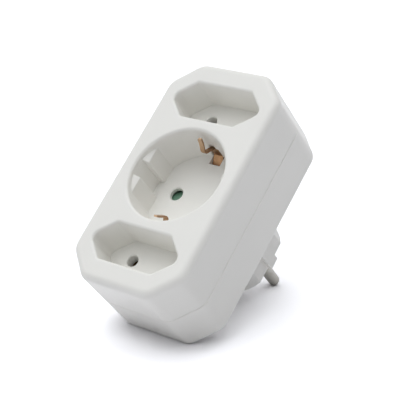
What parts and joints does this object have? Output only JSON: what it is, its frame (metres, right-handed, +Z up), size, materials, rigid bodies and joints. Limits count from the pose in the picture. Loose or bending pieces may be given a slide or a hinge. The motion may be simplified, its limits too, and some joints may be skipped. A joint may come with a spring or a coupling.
{
  "type": "multi socket adapter",
  "caption": "Plug-in mains adapter with a round earthed outlet between flat two-pin outlets, a turning shutter behind the round outlet and an earthed plug at the back.",
  "frame": {"origin": "on the plug axis, midway between the pins, at the end face of the plug neck where the pins leave it", "axes": "+Y along the pins, away from the outlets; +Z up along the long side of the housing; +X to the right seen from the outlets"},
  "size_m": [0.0528, 0.08, 0.0996],
  "materials": {
    "housing_white": "satin gloss, moulded",
    "socket_white": "satin gloss, moulded",
    "shutter_green": "moulded, matt",
    "clamp_grey": "moulded, matt",
    "spring_steel": "rolled",
    "screw_steel": "zinc plated",
    "contact_brass": "stamped",
    "clip_bronze": "stamped spring bronze",
    "pin_plating": "nickel plated, turned"
  },
  "bodies": {
    "housing": {"front_cover": "housing_white", "rear_cover": "housing_white", "plug_body": "housing_white", "socket_plate_centre": "socket_white", "socket_plate_upper": "socket_white", "socket_plate_lower": "socket_white", "shutter_spring": "spring_steel", "earth_bridge": "contact_brass", "earth_clip_upper": "clip_bronze", "earth_clip_lower": "clip_bronze", "clip_rivets": "contact_brass", "earth_post": "contact_brass", "plug_earth_strip": "pin_plating", "contact_bar_right": "contact_brass", "contact_bar_left": "contact_brass", "plug_pin_right": "pin_plating", "plug_pin_left": "pin_plating", "pin_clamp": "clamp_grey", "clamp_screw": "screw_steel", "housing_screws": "screw_steel"},
    "shutter": {"shutter": "shutter_green"}
  },
  "joints": [
    {"name": "shutter_turn", "type": "hinge", "parent": "housing", "child": "shutter", "pos_m": [0, -0.0392, 0], "axis": [0, -1, 0], "range_deg": [0, 40], "stiffness_Nm_per_rad": 0.004, "springref_deg": -11.46, "deforming": ["shutter_spring"]}
  ]
}
